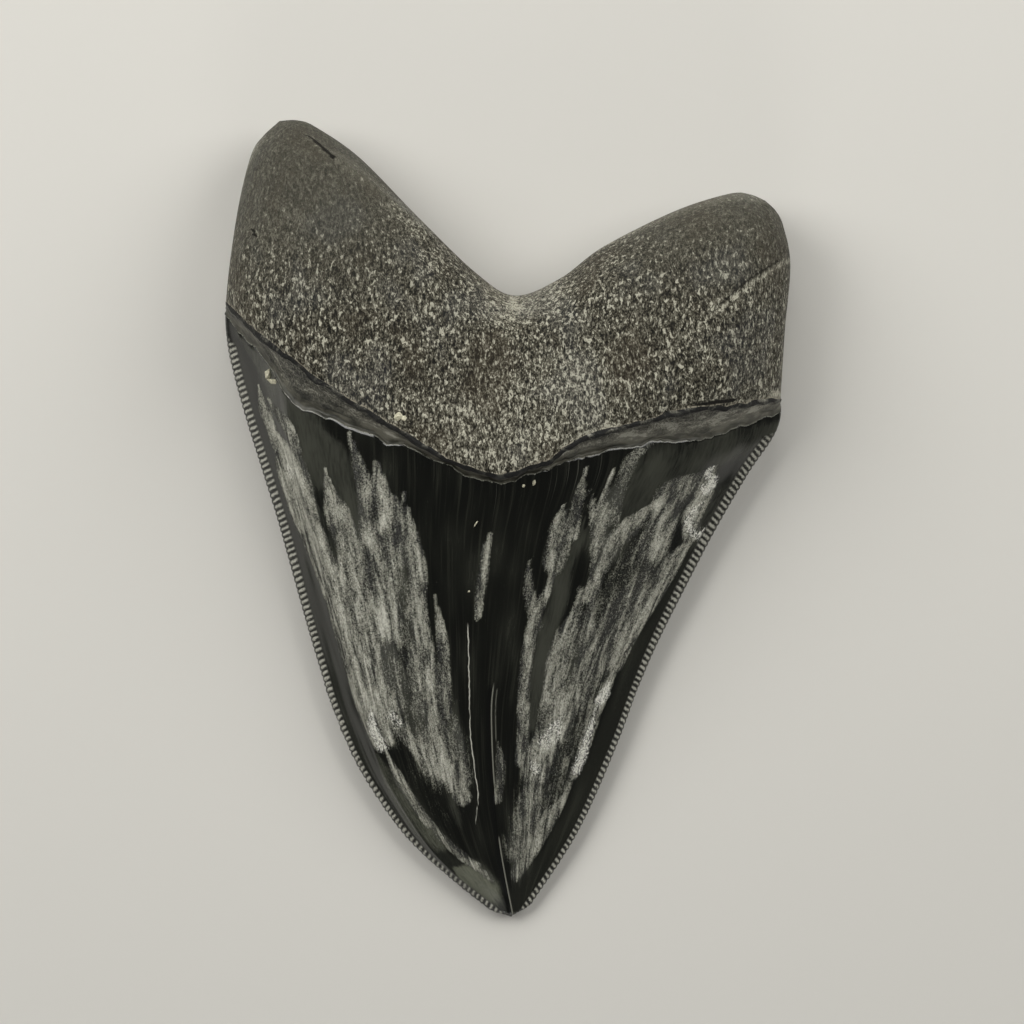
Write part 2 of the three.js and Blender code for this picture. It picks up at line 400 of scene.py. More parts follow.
def body_heights(spots):
    t = spots.t
    settle = smoothstep(0, 1, t)
    recess = BAND_DEPTH * smoothstep(0, 0.12, t) * smoothstep(1, 0.9, t)
    crown_rim = mix(TIP_RIM, SHOULDER_RIM, (1 - t) ** RIM_TAPER)
    rim = np.choose(spots.zone, [mix(LOBE_RIM, SHOULDER_RIM, settle), SHOULDER_RIM, crown_rim])
    crest = np.choose(spots.zone, [
        mix(NOTCH_CREST, FOOT_CREST, settle),
        mix(FOOT_CREST, LIP_CREST, t) - recess,
        mix(crown_rim, LIP_CREST, (1 - t) ** CREST_TAPER)])
    crown_share = smoothstep(0.5, 2.15, spots.down)
    inner_root = (rounding(spots.side_gap, SIDE_ROUND) * rounding(spots.top_gap, TOP_ROUND)
                  * (1 - LOBE_DROP * spots.x**2))
    inner_crown = np.clip(1 - spots.x**2, 0, 1) ** BLADE
    outer_root = rounding(spots.side_gap, OUTER_ROUND) * rounding(spots.top_gap, OUTER_ROUND)
    beyond_flat = np.clip(np.abs(spots.x) - FLAT_SHARE, 0, 1) / (1 - FLAT_SHARE)
    tip_lift = np.clip((spots.down - 2 - TIP_LIFT_START) / (1 - TIP_LIFT_START), 0, 1)
    outer_crown = (1 - beyond_flat**UNDERSIDE_RISE) * (1 - tip_lift**2)
    trough = HOLLOW * smoothstep(0.7, 1.2, spots.down) * smoothstep(2.4, 2, spots.down)
    inner_height = mix(rim, crest, mix(inner_root, inner_crown, crown_share))
    outer_height = mix(rim, trough, mix(outer_root, outer_crown, crown_share))
    return np.where(spots.inner, inner_height, outer_height)


height = body_heights(spots)
print("the tooth is", height.max().round(1), "mm thick")

# %% [markdown]
# ## Measures for everything that follows
#
# A sculptor would now walk over the surface with brushes. Here each brush is a formula, and it needs
# to know where it is: how far from the cutting edge, how far below the enamel's lip, how far from a
# crack. These distances are worked out once and serve both the relief and the colours.

# %% Measure distances to the edges, the chevrons and the cracks
def below(line, places):
    """How far each place lies below a line that runs from left to right, in mm."""
    return np.interp(places[:, 0], line[:, 0], line[:, 1]) - places[:, 1]


def right_of(line, places):
    """How far each place lies to the right of a line that runs down the tooth, in mm."""
    downwards = line[::-1]
    return places[:, 0] - np.interp(places[:, 1], downwards[:, 1], downwards[:, 0])


def beside(line, places):
    """How far each place lies from a line, in mm, and how far along the line, from 0 to 1."""
    gap = np.full(len(places), np.inf)
    along = np.zeros(len(places))
    for number, (start, end) in enumerate(zip(line[:-1], line[1:])):
        step = end - start
        share = np.clip((places - start) @ step / max(step @ step, 1e-9), 0, 1)
        distance = np.linalg.norm(places - start - share[:, None] * step, axis=1)
        nearer = distance < gap
        gap[nearer] = distance[nearer]
        along[nearer] = (number + share[nearer]) / (len(line) - 1)
    return gap, along


SEED_STEP = 17.3  # how far apart two patterns of different seeds lie


def ripple(points, size, seed):
    """Smooth noise between about -1 and 1, whose lumps have the given size in mm each way."""
    scaled = points / np.array(size) + SEED_STEP * seed
    return np.array([noise.noise(point) for point in scaled])


CRACK = smooth_line([
    (-6.6, -16.0), (-6.4, -28.0), (-6.2, -36.0), (-5.6, -41.5), (-5.0, -46.5), (-5.5, -52.0)])
CREASE = smooth_line([
    (-2.4, -26.5), (-2.9, -31.0), (-2.8, -38.0), (-2.4, -45.0), (-1.7, -53.5), (-0.6, -60.5), (0.6, -66.8)])

ROOT_WIDTH = 95.0
face_shift = np.where(spots.inner, 0.0, 200.0)  # so that the two faces don't share one pattern
across_mm = (spots.s - 0.5) * ROOT_WIDTH  # as if the tooth were as wide everywhere as its root
grain_mm = (spots.s - 0.5) * np.sqrt(ROOT_WIDTH * np.maximum(spots.width, 1.0))
flow = np.column_stack([across_mm, spots.place[:, 1], face_shift])
grain = np.column_stack([grain_mm, spots.place[:, 1], face_shift])
solid_place = np.column_stack([spots.place, height])

below_lip = np.where(spots.inner, below(INNER_LIP, spots.place), below(OUTER_LIP, spots.place))
below_foot = np.where(spots.inner, below(INNER_FOOT, spots.place), below(OUTER_FOOT, spots.place))
on_root, on_band, on_crown = (spots.zone == zone for zone in range(3))
print("the lip lies up to", round(float((below_foot - below_lip)[on_band].max()), 1), "mm below the foot")

# %% [markdown]
# ## Serrations
#
# A megalodon's cutting edge is a fine saw, about ten rounded denticles to the centimetre. They
# could be cut one by one, but there are about two hundred. A wave along the edge gives them all:
# it pushes the outline out between sharp nicks, and each nick runs on as a short groove up the face.
# The pitch wanders a little, as in anything that grew.

# %% Shape the two cutting edges
DENTICLE_PITCH = 0.98
DENTICLE_HEIGHT = 0.45
DENTICLE_START = 5.0  # below the shoulders, along the edge
GROOVE_DEPTH = 0.28
SAW_WIDTH = {"high": 1.5, "low": 0.9}  # of the strip that the grooves cross, near lip and tip
LOOK_AHEAD = 0.002  # of a side's length, for finding its direction


def direction_down(side, length, marks):
    """The direction in which a side runs down, at distances along it from the lobe."""
    share = np.clip(marks / length, LOOK_AHEAD, 1 - LOOK_AHEAD)
    step = point_at(side, share + LOOK_AHEAD) - point_at(side, share - LOOK_AHEAD)
    return step / np.linalg.norm(step, axis=1)[:, None]


on_left = spots.on_left[:, None]
downward = np.where(
    on_left,
    direction_down(LEFT_SIDE, LEFT_LENGTH, spots.edge_reach + LEFT_MARKS[2]),
    direction_down(RIGHT_SIDE, RIGHT_LENGTH, spots.edge_reach + RIGHT_MARKS[2]))
outward = downward[:, ::-1] * np.where(on_left, (1, -1), (-1, 1))
from_side = spots.place - spots.side_point
edge_gap = np.abs(np.sum(from_side * outward, axis=1))  # at right angles to the edge
saw_reach = spots.edge_reach + np.sum(from_side * downward, axis=1)
wander = ripple(np.column_stack([saw_reach, 50.0 * spots.on_left, 0 * height]), (9, 9, 9), 1)
denticle_count = (saw_reach + 0.5 * wander) / DENTICLE_PITCH  # whole numbers fall in the nicks
denticle = np.abs(np.sin(np.pi * denticle_count)) ** 0.8
serrated = on_crown * smoothstep(DENTICLE_START - 4, DENTICLE_START + 2, spots.edge_reach)
saw_width = mix(SAW_WIDTH["high"], SAW_WIDTH["low"], smoothstep(0, -42, spots.place[:, 1]))
into_saw = edge_gap / saw_width  # 0 at the outline and 1 at the strip's inner border
near_edge = serrated * smoothstep(1.1, 0.3, into_saw)
spots.place += outward * (DENTICLE_HEIGHT * (denticle - 0.6) * near_edge)[:, None]
serration_relief = -GROOVE_DEPTH * (1 - denticle) * near_edge
print("about", round((sum(SAW_LENGTHS) - 2 * DENTICLE_START) / DENTICLE_PITCH), "denticles")

# %% [markdown]
# ## Relief of root, band and crown
#
# The three surfaces broke down in different ways over millions of years. The root was porous bone-like
# dentine: it is lumpy and grainy along its fibres. The band is torn and ridged along the chevron. The
# enamel hardly wore: it only swells gently, steps down to a thin margin and has a crease that runs to
# the tip. All heights are in millimetres along the surface's own normal, so they wrap round the edges.

# %% Work out the relief
RAGGED_LIP = 0.8
RAGGED_FOOT = 0.5


def ragged(amount, gap, size, seed):
    """Shifts a border up and down the tooth, in mm, and its surroundings with it."""
    along = np.column_stack([spots.place[:, 0], 0 * gap, face_shift])
    inside = smoothstep(0, 2, spots.side_gap)  # the outline itself stays where it is
    return amount * ripple(along, (size, 1, 1), seed) * smoothstep(1.8, 0.0, np.abs(gap)) * inside


spots.place[:, 1] += ragged(RAGGED_LIP, below_lip, 2.6, 2) + ragged(RAGGED_LIP / 2, below_lip, 0.9, 3)
spots.place[:, 1] += ragged(RAGGED_FOOT, below_foot, 3.0, 4) + ragged(RAGGED_FOOT / 2, below_foot, 1.0, 5)

BEVEL = smooth_line([(-34.5, 64.0), (-27.5, 59.0), (-18.0, 51.5), (-11.5, 45.0)])
ROOT_VEINS = [  # low ridges where a crack healed with mineral
    smooth_line([(30.0, 31.0), (35.5, 35.0), (40.0, 38.8), (47.3, 43.6)]),
    smooth_line([(19.0, 25.5), (27.0, 28.5), (32.5, 33.0), (37.0, 36.5)]),
    smooth_line([(-43.5, 50.5), (-41.0, 46.5), (-38.5, 43.0)]),
]
MARGIN_STEP = 0.15  # down to the thin, smooth margin beside the cutting edges


def line_relief(line, depth, width):
    """A groove, or a ridge if the depth is below 0, that fades out at both ends of a line."""
    gap, along = beside(line, spots.place)
    fade = smoothstep(0, 0.12, along) * smoothstep(1, 0.88, along)
    return -depth * np.exp(-(gap / width) ** 2) * fade


FOOT_RIM = 0.25  # how far the root's edge stands proud along its foot
FOOT_CRACK = 0.4  # how deep the crack under it is
chevron = np.column_stack([spots.place[:, 0], below_lip, face_shift])
inside = smoothstep(0.0, 2.5, spots.side_gap)
off_outline = smoothstep(0.0, 3.0, np.minimum(spots.side_gap, spots.top_gap))
root_lumps = (
    0.40 * ripple(flow, (7, 9, 9), 6)
    + 0.22 * ripple(grain, (1.6, 3.6, 3), 7)
    + 0.15 * ripple(grain, (0.9, 2.0, 3), 8))
root_relief = (
    root_lumps * off_outline
    + line_relief(BEVEL, 0.5, 0.8)
    + sum(line_relief(vein, -0.22, 0.45) for vein in ROOT_VEINS)
    + FOOT_RIM * inside * smoothstep(-1.6, -0.2, below_foot))
band_relief = (
    0.28 * ripple(chevron, (3.5, 1.0, 3), 9)
    + 0.22 * ripple(solid_place, (1.3, 0.9, 1.3), 10)
    - FOOT_CRACK * inside * np.exp(-((below_foot - 0.3) / 0.25) ** 2))
narrowing = smoothstep(12, 45, spots.width)  # keeps fibres from crowding together near the tip
beside_crease = right_of(CREASE, spots.place)
crease_share = spots.inner * smoothstep(-25, -30, spots.place[:, 1])
margin_width = np.where(  # it is widest low down, and starts lower on the right
    spots.on_left,
    mix(2.1, 3.9, smoothstep(4, -14, spots.place[:, 1])),
    mix(1.8, 3.9, smoothstep(0, -34, spots.place[:, 1])))
past_margin = edge_gap - margin_width
margin = smoothstep(2, -14, spots.place[:, 1]) * smoothstep(0.5, -1.0, past_margin)
crown_relief = (
    0.12 * ripple(solid_place, (13, 22, 13), 11)
    + 0.04 * narrowing * ripple(flow, (2.4, 9, 5), 12)
    + crease_share * (0.12 * np.tanh(beside_crease / 0.4) - 0.28 * np.exp(-(beside_crease / 0.45) ** 2))
    + spots.inner * line_relief(CRACK, 0.08, 0.2)
    - MARGIN_STEP * margin
    + serration_relief)
relief = np.choose(spots.zone, [root_relief, band_relief, crown_relief])
print("relief runs from", relief.min().round(2), "to", relief.max().round(2), "mm")

# %% [markdown]
# ## Where the enamel is silky, smoky or bright
#
# The enamel is jet black and glassy down the middle. Beside it lie long flames of silky grey, where the
# polish is gone and the fibres under it show, with smooth smoky patches between them. Their pale grey
# is partly the worn enamel's own and partly painted sheen, the light those fibres catch, and the
# brightest places get painted glints. No noise pattern grows such flames in the right places, so they
# are painted as brush strokes would be: a few points down the tooth, the reach of the brush and its
# strength, all in millimetres. Noise then frays the edges of the strokes, along the fibres, when the
# material is made.

# %% Paint the strokes
# Silky flames: worn enamel whose pale grey is partly painted sheen.
SILK_AND_SHEEN = [  # reach, strength and points
    # wide and faint, under the others
    (6.5, 0.34, [(-31, -4), (-27, -14), (-23.5, -24), (-20.5, -33)]),
    (5, 0.38, [(-19.5, 0), (-18.5, -11), (-16, -22), (-13.5, -32), (-10, -42)]),
    (4, 0.20, [(-17, -38), (-13.5, -44), (-10.5, -49)]),
    (5.5, 0.36, [(29, 5), (24.5, -3), (20, -11), (16, -20), (13.5, -27)]),
    (4.5, 0.38, [(12.5, -12), (11, -20), (9.5, -28), (7.5, -36), (5.5, -46), (3, -55)]),
    (2.5, 0.36, [(16, -22), (13, -32), (10, -42), (7, -50)]),
    # left of the middle, from the cutting edge inwards
    (0.9, 0.95, [(-41.8, 22.9), (-41.3, 19.6), (-40.1, 16.5), (-38.6, 12)]),
    (0.9, 0.80, [(-40.4, 20.7), (-38.3, 17.6), (-36.3, 14.9), (-35.2, 11.5)]),
    (2.8, 1.00, [(-38.6, 14.5), (-37, 10), (-35.5, 5), (-34.5, 0)]),
    (2.4, 0.60, [(-36.5, 4), (-35.5, -1), (-33.5, -6), (-31, -11), (-28.5, -20)]),
    (1.8, 0.90, [(-33.5, 2.5), (-32.6, -1.5), (-31, -6.5), (-28.5, -11)]),
    (2.2, 0.85, [(-30.5, 8.5), (-29.2, 3.5), (-27.5, -1), (-26, -5.5), (-24.5, -10)]),
    (5.6, 0.90, [(-27.5, -4), (-26.8, -9), (-25.8, -15), (-25, -21.5), (-24.5, -27), (-23, -31)]),
    (3, 0.90, [(-22.5, -7.5), (-20.8, -14.5), (-20.6, -18.5)]),
    (1.3, 0.70, [(-26.5, 15.5), (-25, 10.5), (-24, 6.5), (-23.6, 1.5), (-23.3, -3)]),
    (1.5, 0.85, [(-21.6, 10.5), (-21.3, 6.5), (-20.6, 3), (-20.2, -0.5)]),
    (2.6, 0.62, [(-22, 0), (-21.5, -5), (-20.5, -9.5)]),
    (2.4, 0.60, [(-18.8, 4.5), (-18.4, -1), (-18.6, -6.5)]),
    (1.5, 0.92, [(-17.2, 4.5), (-16.3, 0.5), (-15.5, -3.5), (-14.9, -8.5), (-14.9, -13.5), (-14.3, -19.5),
                 (-13, -26), (-12.5, -30)]),
    (1, 0.70, [(-12, -12.5), (-11.2, -17), (-10.7, -22), (-10.4, -27.5), (-10.2, -32.5)]),
    (2.8, 0.62, [(-15.5, -19.5), (-14.2, -25), (-13.2, -31)]),
    (2.3, 0.97, [(-13, -29.5), (-12, -34.5), (-12, -38.5), (-10.8, -42)]),
    (1.5, 0.85, [(-11.5, -38), (-10, -42), (-8.4, -45), (-7.6, -46.6)]),
    (1.1, 0.58, [(-8.8, -32.5), (-8.2, -37.5), (-7.2, -44)]),
    (1, 0.60, [(-19, -21.5), (-18.5, -27), (-18, -31)]),
    (1.2, 0.85, [(-22.5, -28.5), (-19.8, -32), (-17.5, -35.5), (-15, -38.5), (-13, -42)]),
    (2.4, 0.95, [(-24.5, -24.5), (-23.5, -29), (-22.8, -33), (-21.5, -36.5)]),
    (0.9, 0.80, [(-20.8, -38), (-19.3, -41.5), (-17.3, -45.5), (-15.4, -48.5), (-13.5, -51.5)]),
    (1.2, 0.50, [(-13, -50.5), (-11.5, -53.5), (-9, -56), (-7.5, -57.5)]),
    (0.9, 0.95, [(-9.5, -58), (-7.6, -57.8), (-5.4, -58.6)]),
    (0.9, 0.80, [(-6, -58.5), (-4, -60), (-2.9, -62.5), (-2.6, -64.8)]),
    # the middle
    (0.75, 0.95, [(-2.9, -2.2), (-3.6, -5.5), (-4.2, -10)]),
    (0.75, 0.85, [(-5, -17.5), (-4.7, -13.5), (-4.1, -9)]),
    (0.9, 0.55, [(-1.6, -37), (-1.2, -41.5), (-1.7, -47)]),
    # right of the middle, outwards
    (1.1, 0.60, [(3.4, -6), (3.6, -12.5), (4.8, -17.5)]),
    (1, 0.75, [(12.8, 8.5), (12.1, 5), (11.3, 2), (10.8, -2.5)]),
    (2, 0.72, [(9.2, 2.5), (8.6, -2.5), (7.6, -7)]),
    (1, 0.88, [(10.3, -2.5), (8, -7), (6.6, -11.5), (5, -15), (3.8, -19), (3, -24.5),
                 (2.6, -30.5), (2.6, -36), (2.2, -40.5)]),
    (0.9, 0.50, [(13.7, 5.5), (14.1, 1), (14.3, -5.5)]),
    (1.2, 0.85, [(17.3, 8.5), (16.2, 4.5), (15.5, 0), (15, -5), (14.7, -9.5), (13.5, -13)]),
    (1.9, 0.90, [(12, -11), (11.3, -15.5), (9.5, -20), (8.2, -24), (7.7, -29), (7.3, -34.5)]),
    (2.2, 0.68, [(14.2, -12), (13.5, -17.5), (13.7, -22), (12.8, -27), (11, -31)]),
    (1.3, 0.50, [(25, 13), (21, 10.5), (18.8, 6), (17.5, 0)]),
    (1.6, 0.80, [(26.5, 4.5), (22.5, 0.8), (19.5, -2), (17, -4.5), (15.5, -7.5)]),
    (2.6, 0.72, [(34, 8.5), (30.5, 6), (27, 3.5), (25.5, -1), (24, -5)]),
    (1.5, 0.97, [(35, 9), (34, 6.5), (32.5, 3.5), (31, 0.5), (31, -2.5)]),
    (2.1, 0.92, [(32, -2.5), (29.5, -5), (27.5, -8), (25.5, -12), (22.5, -15.5), (20, -19),
                 (18.5, -23.5)]),
    (3.4, 0.50, [(24, -7.5), (20.5, -13), (17, -18.5), (15, -24)]),
    (1.1, 0.92, [(18.5, -23), (17.6, -26.5), (16.3, -29.5), (14.9, -32), (13.9, -35.5), (12.9, -39),
                 (11.5, -43)]),
    (2.4, 0.97, [(13.2, -26), (11.3, -29.5), (9.2, -32.5), (7.5, -36), (6, -38.5), (4.8, -42.5)]),
    (1.7, 0.75, [(11.4, -43), (9.4, -47.5), (7.2, -50.5), (5.4, -53.5), (3.8, -56.5), (2.2, -60)]),
    (2.6, 0.60, [(4.6, -41), (4, -46.5), (3.4, -51), (2.4, -56)]),
]
SMOKE = [
    (3.8, 0.9, [(-46, 32), (-38, 22), (-34.5, 16), (-31.5, 11), (-29.5, 8)]),
    (3.2, 1, [(-31.5, 15.5), (-28.4, 10.5), (-26.8, 4), (-25.5, -3)]),
    (1.5, 0.9, [(-33, 4), (-31, -1), (-29.5, -5.5)]),
    (1.5, 0.9, [(-17.2, -4), (-17.5, -9.5), (-17.6, -15), (-16.5, -20)]),
    (2.8, 0.8, [(-20.5, -18.5), (-19.8, -23), (-18, -30), (-14.8, -34)]),
    (1.8, 0.9, [(13, 4), (12, -2.5), (9.5, -7.5), (8.5, -13.5), (5.8, -20), (5, -27), (4.6, -34)]),
    (3.4, 0.9, [(21.5, 10.5), (19.8, 5), (18, 0.5), (16.2, -4)]),
    (3.8, 0.8, [(52, 16), (44, 14.5), (34, 12), (27, 9), (22, 4)]),
    (2.6, 0.7, [(50, 18), (43, 10), (38, 4), (33, -3)]),
    (2.2, 0.7, [(11, -16.5), (10.5, -23), (10, -28)]),
    (2.4, 0.8, [(1.5, -48), (2.2, -54), (2.2, -60), (1.6, -64)]),
    (2.2, 0.5, [(-8.5, -30), (-9, -40), (-8.5, -50)]),
]
# Painted glints: small near-white highlights painted into the enamel's colour.
GLINT = [
    (0.9, 0.9, [(-22.9, -31.5), (-22.6, -35), (-21, -38.2)]),
    (0.8, 0.7, [(-17.8, -34.9), (-19.5, -32.5)]),
    (0.9, 1, [(35, 9.2), (33.7, 8), (34.4, 6.4), (33.2, 4.9)]),
    (0.8, 0.9, [(33, 3), (31.3, 1.5), (30.4, -0.5), (31.2, -2.5)]),
    (0.7, 1, [(34.8, -0.4), (33.4, -2), (32.4, -3)]),
    (0.9, 1, [(17.2, -27.2), (16.4, -29.4), (15.6, -30.5)]),
    (0.8, 0.9, [(14.9, -31.6), (14.2, -34.5), (13.3, -37.6), (12.6, -40), (11.6, -42.5)]),
    (1.4, 0.8, [(9.2, -33), (7.7, -35.8), (6.4, -37.5)]),
    (0.9, 0.7, [(4, -40.2), (4.8, -42.2)]),
    (0.7, 0.6, [(-37, 9.5), (-36.2, 7.5)]),
]
GLAZE = [  # worn smooth and olive grey
    (2, 0.36, [(-22, -39.5), (-19, -45), (-16.2, -49.5), (-12.5, -53.6)]),
    (1.5, 0.60, [(-14.5, -51), (-12.8, -53.2), (-11.4, -54.6)]),
    (2.6, 1.00, [(-9, -59), (-6.2, -60.6), (-3.6, -63.2)]),
]
STAINS_AND_HIGHLIGHTS = [  # pale mineral on the root: veins and a spot under the notch; the pale rims of the lobes and the foot are painted highlights
    (0.40, 0.65, [(30, 31), (35.5, 35), (40, 38.8), (44, 41.5), (47.3, 43.6)]),
    (0.35, 0.45, [(19, 25.5), (27, 28.5), (32.5, 33), (35.5, 36.5), (39, 37.5)]),
    (0.35, 0.40, [(-43.5, 50.5), (-41, 46.5), (-38.5, 43)]),
    (0.60, 0.30, [(-39, 52.5), (-36.5, 50.5), (-34, 49.5)]),
    (1.10, 0.40, [(15.5, 45.3), (20, 48), (27, 51.3), (37, 54.3), (42, 54)]),
    (0.80, 0.45, [(-47, 46), (-46, 53), (-44, 59.5), (-41.5, 63.5)]),
    (1.20, 0.85, [(1.2, 37.6), (1, 36), (1.4, 35.2)]),
    (4.00, 0.30, [(-4, 39.5), (0, 35), (6, 37.5)]),
    (9.00, 0.22, [(-16, 20), (-6, 15), (2, 14), (10, 20)]),
    (0.70, 0.75, [(8, 11.6), (12, 13.7), (18.2, 15.6)]),
    (0.80, 0.70, [(38, 18), (42, 18.8), (45.5, 21)]),
    (1.40, 0.25, [(-33, 63), (-28.5, 60), (-21, 54.2), (-15, 48.5)]),
    # on the band: a strip along its right half that is lighter, and thin pale lines along it
    (1.60, 0.60, [(6, 9.5), (18, 13.6), (28, 15.4), (38, 17.3), (45, 20)]),
    (0.35, 0.90, [(7.5, 10.3), (14, 12.6), (22, 14.6), (32, 16.6)]),
    (0.35, 0.80, [(33.5, 15.2), (38.5, 17.2), (43, 19.2)]),
    (0.50, 0.60, [(-31, 21.5), (-26, 18.3), (-20, 14.5), (-12, 10.5)]),
]
SHADES = [  # dark cracks in the root
    (0.35, 0.9, [(-33.8, 64), (-31.5, 62.3), (-29, 59.8)]),
    (0.30, 0.9, [(-42.6, 48.8), (-41.6, 46.8)]),
    (0.35, 0.9, [(29.8, 18.6), (33.5, 19.2), (37.3, 19.8)]),
    (0.30, 0.7, [(31.5, 33.2), (35.5, 36), (40, 39.8), (45, 43)]),
]
BRUSH_STEPS = 6  # between two points of a stroke
BRUSH_TIP = 0.15  # the brush's size as a share of its reach, at a stroke's start
BRUSH_BODY = 1.2  # and from its middle on


def painted(strokes, places):
    """How strongly the strokes cover each place. They start pointed and end round."""
    cover = np.zeros(len(places))
    for reach, strength, points in strokes:
        gap, along = beside(smooth_line(points, BRUSH_STEPS), places)
        brush = reach * mix(BRUSH_TIP, BRUSH_BODY, smoothstep(0, 0.45, along))
        cover = np.maximum(cover, strength * smoothstep(1.25, 0.35, gap / brush))
    return cover


inner_crown = on_crown & spots.inner
dull = on_root | on_band
silk_and_sheen, smoke, glint, glaze = (
    inner_crown * painted(strokes, spots.place) for strokes in (SILK_AND_SHEEN, SMOKE, GLINT, GLAZE))
stain_and_highlight, shade = (
    dull * spots.inner * painted(strokes, spots.place) for strokes in (STAINS_AND_HIGHLIGHTS, SHADES))
silk_and_sheen *= smoothstep(-0.3, 0.6, past_margin)
scratchable = inner_crown * smoothstep(22, 8, np.abs(spots.place[:, 0]))
silk_and_sheen += (on_crown & ~spots.inner) * 0.45 * smoothstep(1, 8, spots.side_gap)
print("silk covers", round(100 * float((silk_and_sheen[inner_crown] > 0.5).mean())), "% of the inner crown's vertices")

# %% [markdown]
# ## Wrap the sleeve round the tooth
#
# Everything a material will ask for is stored on the vertices first. Then each vertex goes to its
# place, the edges of the sleeve are sewn together, and the relief is pushed out along the normals.
# The flat map for the textures is two views of the tooth, from above and from below, side by side.

# %% Fold, sew and sculpt
MAP_SIZE_MM = 152.0
FRONT_CENTRE = Vector((49.0, 68.5))  # of the view from above, in mm from the map's corner
BACK_CENTRE = Vector((114.0, 52.0))  # of the view from below, which is turned to fit beside it
BACK_SCALE = 0.75

lobe = smoothstep(30, 56, spots.place[:, 1]) * smoothstep(8, 26, np.abs(spots.place[:, 0]))
height_up = spots.place[:, 1]
crack_here = spots.inner * smoothstep(-52.5, -49, height_up) * smoothstep(-16, -19, height_up)
shine_here = crease_share * (1 - smoothstep(-43, -46, height_up) * smoothstep(-55, -52, height_up))
lens_here = spots.inner * smoothstep(-27.5, -29, height_up) * smoothstep(-39, -35, height_up)
measures = {
    "lobe": lobe, "crack_here": crack_here, "crease_here": crease_share, "shine_here": shine_here,
    "lens_here": lens_here, "margin": margin, "scratchable": scratchable,
    "into_saw": into_saw, "denticle_count": denticle_count, "serrated": serrated,
    "below_lip": below_lip, "below_foot": below_foot,
    "silk_and_sheen": silk_and_sheen, "smoke": smoke, "glint": glint, "glaze": glaze, "stain_and_highlight": stain_and_highlight, "shade": shade,
    "beside_crack": right_of(CRACK, spots.place), "beside_crease": beside_crease,
    "relief": relief}
directions = {"flow": flow, "grain": grain, "chevron": chevron}

bake_map = sleeve.loops.layers.uv.new("OFBake")
for face in sleeve.faces:
    column, row, _ = face.calc_center_median()
    face.material_index = int(np.searchsorted(ZONE_STARTS, row)) - 1
    for loop in face.loops:
        x, y = spots.place[loop.vert.index]
        front, back = FRONT_CENTRE + Vector((x, y)), BACK_CENTRE + BACK_SCALE * Vector((x, -y))
        loop[bake_map].uv = (front if column < INNER_COLUMNS else back) / MAP_SIZE_MM

layers = {name: sleeve.verts.layers.float.new(name) for name in measures}
layers |= {name: sleeve.verts.layers.float_vector.new(name) for name in directions}
for name, values in (measures | directions).items():
    layer = layers[name]
    for vertex, value in zip(sleeve.verts, values.tolist()):
        vertex[layer] = value
for vertex, (x, y), z in zip(sleeve.verts, spots.place, height):
    vertex.co = (x * MM, y * MM, z * MM)
bmesh.ops.remove_doubles(sleeve, verts=sleeve.verts, dist=1e-6)
sleeve.normal_update()
for vertex in sleeve.verts:
    vertex.co += vertex.normal * vertex[layers["relief"]] * MM
    vertex.co.z = max(vertex.co.z, TOOTH_LOW[2])
sleeve.normal_update()
triangles = sum(len(face.verts) - 2 for face in sleeve.faces)
open_edges = sum(edge.is_boundary for edge in sleeve.edges)
crowded_edges = sum(len(edge.link_faces) > 2 for edge in sleeve.edges)
print("the tooth has", triangles, "triangles,", open_edges, "open edges and",
      crowded_edges, "edges that join more than two faces")

# %% [markdown]
# ## Building up a finish
#
# Every finish here is a base with layers over it, like a painter's glazes: each layer has a colour, a
# roughness and a share that says where it covers. The shares come from two sources. One is the
# measures stored on the vertices, which place a layer. The other is noise drawn out along the fibres
# of the tooth, which gives its edges and its inside their grain, at a real size in millimetres.

# %% Helpers for layered finishes
def measured(tree, name, low, high):
    """The share, from 0 to 1, by which a stored measure has gone from low to high."""
    return share_between(tree, stored(tree, name), low, high)


def share_between(tree, value, low, high):
    """0 below low and 1 above high, or the other way round where low is the larger."""
    limits = {"Value": value, "From Min": low, "From Max": high}
    return add_node(tree, "ShaderNodeMapRange", limits, interpolation_type="SMOOTHSTEP").outputs["Result"]


def where_all(tree, first, *others):
    """The share that is left where several shares overlap."""
    for other in others:
        first = add_node(tree, "ShaderNodeMath", {0: first, 1: other}, operation="MULTIPLY").outputs[0]
    return first


def stored(tree, name):
    """A measure as it is stored on the vertices."""
    return add_node(tree, "ShaderNodeAttribute", attribute_name=name).outputs["Fac"]


def fibrous(tree, size, along="flow", detail=3.0, curl=0.0, seed=0.0):
    """Noise with lumps of a size in mm, drawn out along the fibres. It is 0.5 on average."""
    place, unit = add_node(tree, "ShaderNodeAttribute", attribute_name=along).outputs["Vector"], 1
    if along == "solid":
        place, unit = add_node(tree, "ShaderNodeTexCoord").outputs["Object"], MM
    scaled = add_node(tree, "ShaderNodeMapping", {
        "Vector": place, "Scale": [1 / (side * unit) for side in size], "Location": (seed, seed, seed)})
    return add_node(tree, "ShaderNodeTexNoise", {
        "Vector": scaled.outputs["Vector"], "Scale": 1.0, "Detail": detail, "Distortion": curl,
    }).outputs["Fac"]


def blended(tree, start, *parts):
    """Adds noises to a number or socket, each times its own amount, and centred on 0."""
    for noise_socket, amount in parts:
        start = added(tree, start, noise_socket, amount)
    centre = sum(amount for _, amount in parts) / 2
    return add_node(tree, "ShaderNodeMath", {0: start, 1: centre}, operation="SUBTRACT").outputs[0]


def added(tree, start, part, amount):
    """A socket plus another one times an amount, which may be a socket too."""
    return add_node(
        tree, "ShaderNodeMath", {0: part, 1: amount, 2: start}, operation="MULTIPLY_ADD").outputs[0]


